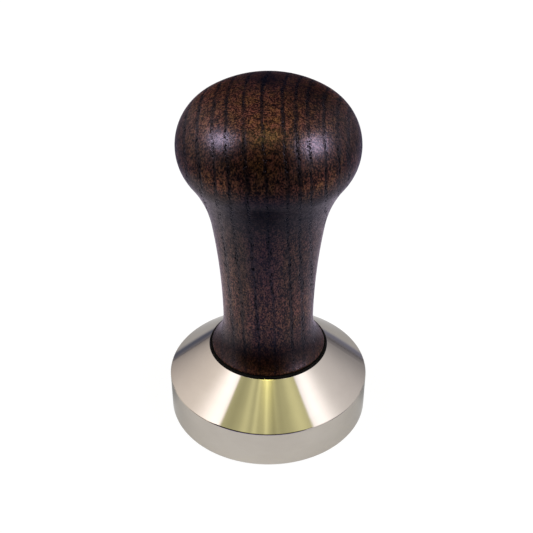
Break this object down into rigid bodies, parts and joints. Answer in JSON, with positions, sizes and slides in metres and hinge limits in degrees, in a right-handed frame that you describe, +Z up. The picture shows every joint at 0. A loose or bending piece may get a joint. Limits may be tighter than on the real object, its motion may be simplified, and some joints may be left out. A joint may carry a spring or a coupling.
{
  "type": "espresso tamper",
  "caption": "Espresso tamper: a turned wooden knob handle that unscrews from a solid, cone-topped steel base with a flat round tamping face.",
  "frame": {"origin": "centre of the tamping face, on the surface that the tamper stands on", "axes": "+Z up along the axis of base and handle"},
  "size_m": [0.053, 0.053, 0.0926],
  "materials": {
    "steel": "turned and polished stainless steel",
    "stud_steel": "plain stainless steel, threaded",
    "rubber": "matt black",
    "brass": "plain turned brass",
    "wood": "dark stained ash under satin lacquer"
  },
  "bodies": {
    "base": {"base": "steel", "stud": "stud_steel"},
    "gasket": {"gasket": "rubber"},
    "handle": {"handle": "wood", "insert": "brass"}
  },
  "joints": [
    {"name": "handle_turn", "type": "hinge", "parent": "base", "child": "gasket", "pos_m": [0, 0, 0.0182], "axis": [0, 0, 1], "range_deg": [0, 4680]},
    {"name": "handle_lift", "type": "slide", "parent": "gasket", "child": "handle", "axis": [0, 0, 1], "range_m": [0, 0.01625]}
  ],
  "couplings": [
    {"joint": "handle_lift", "follows": "handle_turn", "m_per_rad": 0.00019894}
  ]
}
